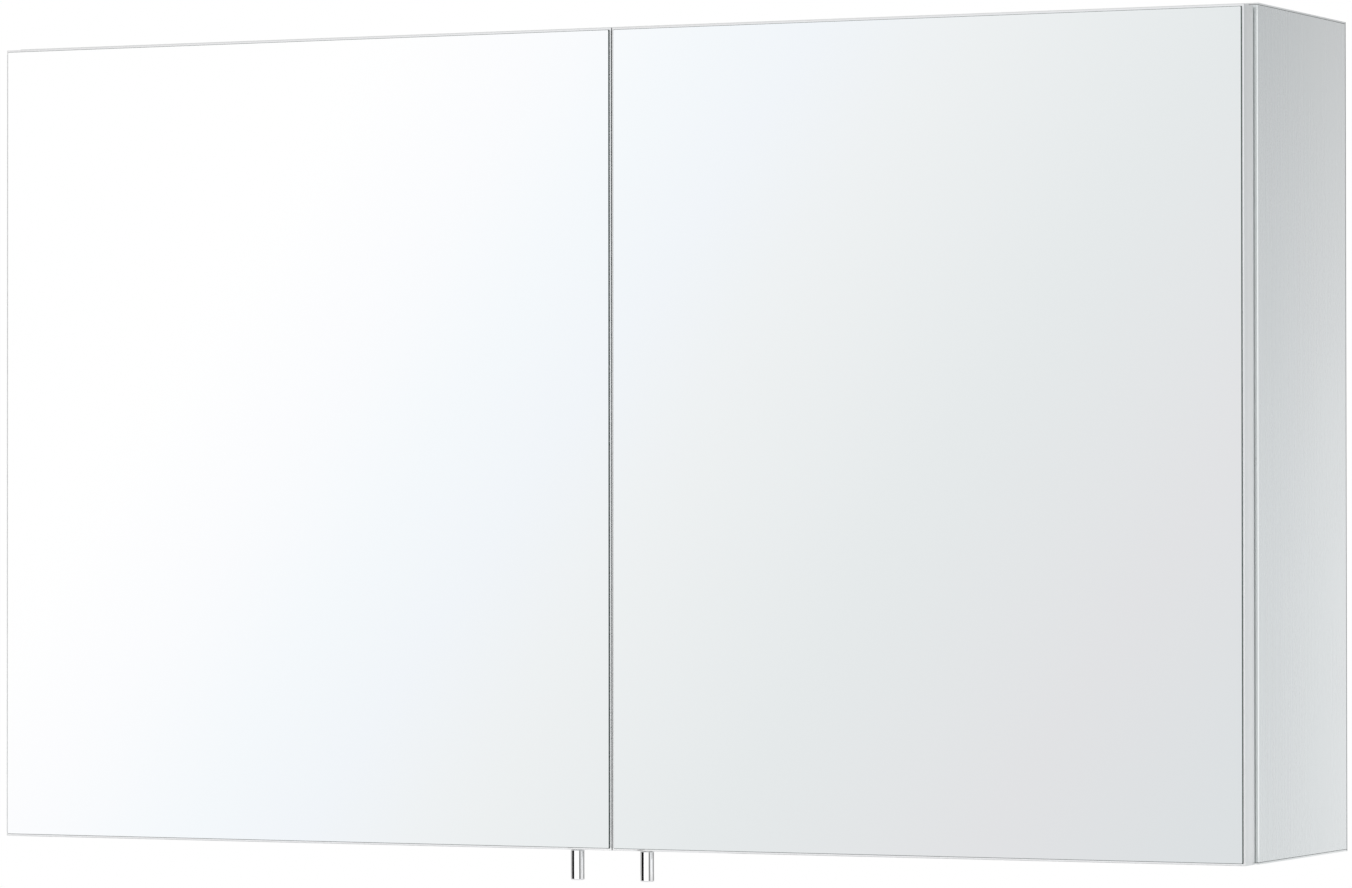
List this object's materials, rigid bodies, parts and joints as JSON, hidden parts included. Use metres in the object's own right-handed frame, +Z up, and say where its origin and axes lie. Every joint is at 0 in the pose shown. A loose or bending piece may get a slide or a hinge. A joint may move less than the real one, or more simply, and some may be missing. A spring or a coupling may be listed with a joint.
{
  "type": "medicine cabinet with mirror",
  "caption": "Wall-hung bathroom cabinet in brushed stainless steel with mirrored hinged doors, glass shelves and small pin handles below the doors.",
  "frame": {"origin": "centre of the back panel's rear face, which lies against the wall", "axes": "+Z up, the doors face -Y, +Y points into the wall, X runs along the wall with the wider door at -X"},
  "size_m": [1, 0.2154, 0.622],
  "materials": {
    "carcass_steel": "brushed",
    "door_steel": "brushed",
    "mirror_glass": "polished",
    "shelf_glass": "polished",
    "handle_chrome": "polished",
    "pin_chrome": "polished",
    "hinge_nickel": "satin",
    "hanger_steel": "satin",
    "catch_plastic": "matte",
    "buffer_rubber": "matte",
    "bond_layer": "matte",
    "honeycomb_board": "matte"
  },
  "bodies": {
    "cabinet": {"back_panel": "carcass_steel", "bottom_panel": "carcass_steel", "centre_divider": "carcass_steel", "glass_shelf_left_lower": "shelf_glass", "glass_shelf_left_upper": "shelf_glass", "glass_shelf_right_lower": "shelf_glass", "glass_shelf_right_upper": "shelf_glass", "left_hanger_plate": "hanger_steel", "left_hinge_arm_lower": "hinge_nickel", "left_hinge_arm_upper": "hinge_nickel", "left_hinge_plate_lower": "hinge_nickel", "left_hinge_plate_upper": "hinge_nickel", "left_magnetic_catch": "catch_plastic", "left_side_panel": "carcass_steel", "right_hanger_plate": "hanger_steel", "right_hinge_arm_lower": "hinge_nickel", "right_hinge_arm_upper": "hinge_nickel", "right_hinge_plate_lower": "hinge_nickel", "right_hinge_plate_upper": "hinge_nickel", "right_magnetic_catch": "catch_plastic", "right_side_panel": "carcass_steel", "shelf_pin_left_lower_front_a": "pin_chrome", "shelf_pin_left_lower_front_b": "pin_chrome", "shelf_pin_left_lower_rear_a": "pin_chrome", "shelf_pin_left_lower_rear_b": "pin_chrome", "shelf_pin_left_upper_front_a": "pin_chrome", "shelf_pin_left_upper_front_b": "pin_chrome", "shelf_pin_left_upper_rear_a": "pin_chrome", "shelf_pin_left_upper_rear_b": "pin_chrome", "shelf_pin_right_lower_front_a": "pin_chrome", "shelf_pin_right_lower_front_b": "pin_chrome", "shelf_pin_right_lower_rear_a": "pin_chrome", "shelf_pin_right_lower_rear_b": "pin_chrome", "shelf_pin_right_upper_front_a": "pin_chrome", "shelf_pin_right_upper_front_b": "pin_chrome", "shelf_pin_right_upper_rear_a": "pin_chrome", "shelf_pin_right_upper_rear_b": "pin_chrome", "top_panel": "carcass_steel"},
    "left_door": {"left_door_buffer_lower": "buffer_rubber", "left_door_buffer_upper": "buffer_rubber", "left_door_core": "honeycomb_board", "left_door_tray": "door_steel", "left_handle": "handle_chrome", "left_hinge_bracket_lower": "hinge_nickel", "left_hinge_bracket_upper": "hinge_nickel", "left_hinge_pin_lower": "hinge_nickel", "left_hinge_pin_upper": "hinge_nickel", "left_mirror_bond": "bond_layer", "left_mirror_glass": "mirror_glass"},
    "right_door": {"right_door_buffer_lower": "buffer_rubber", "right_door_buffer_upper": "buffer_rubber", "right_door_core": "honeycomb_board", "right_door_tray": "door_steel", "right_handle": "handle_chrome", "right_hinge_bracket_lower": "hinge_nickel", "right_hinge_bracket_upper": "hinge_nickel", "right_hinge_pin_lower": "hinge_nickel", "right_hinge_pin_upper": "hinge_nickel", "right_mirror_bond": "bond_layer", "right_mirror_glass": "mirror_glass"}
  },
  "joints": [
    {"name": "left_door_swing", "type": "hinge", "parent": "cabinet", "child": "left_door", "pos_m": [-0.4905, -0.205, 0], "axis": [0, 0, -1], "range_deg": [0, 100]},
    {"name": "right_door_swing", "type": "hinge", "parent": "cabinet", "child": "right_door", "pos_m": [0.4905, -0.205, 0], "axis": [0, 0, 1], "range_deg": [0, 100]}
  ]
}
